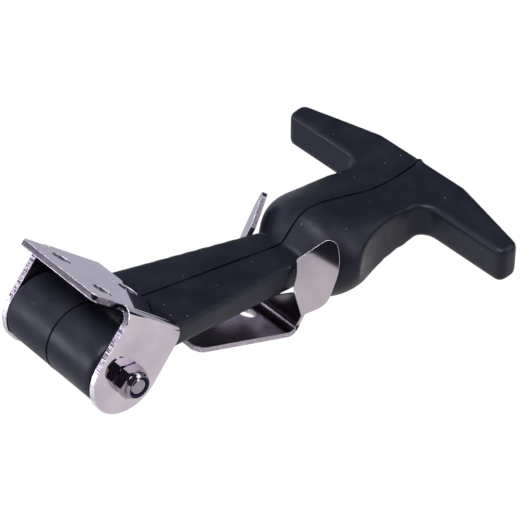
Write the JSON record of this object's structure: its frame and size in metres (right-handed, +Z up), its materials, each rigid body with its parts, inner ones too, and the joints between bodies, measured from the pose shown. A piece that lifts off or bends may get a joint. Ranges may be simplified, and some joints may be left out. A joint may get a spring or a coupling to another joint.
{
  "type": "rubber T draw latch",
  "caption": "Rubber strap with a T handle, pivoting in a folded steel anchor and hooked in a forked steel keeper.",
  "frame": {"origin": "mounting face of the anchor bracket, midway between its two front screw holes", "axes": "+X towards the T handle, +Y along the pivot towards the bolt head, +Z up with the strap level"},
  "size_m": [0.1321, 0.0878, 0.0509],
  "materials": {
    "polished_steel": "polished",
    "rubber": "satin",
    "nylon": "matte"
  },
  "bodies": {
    "anchor": {"anchor_bracket": "polished_steel", "pivot_bolt": "polished_steel", "pivot_lock_nut": "polished_steel", "nut_nylon_ring": "nylon", "pivot_sleeve": "polished_steel"},
    "strap": {"strap_handle": "rubber", "keeper_bracket": "polished_steel"}
  },
  "joints": [
    {"name": "strap_pivot", "type": "hinge", "parent": "anchor", "child": "strap", "pos_m": [-0.00173, 0, -0.02075], "axis": [0, 1, 0], "range_deg": [0, 240]}
  ]
}
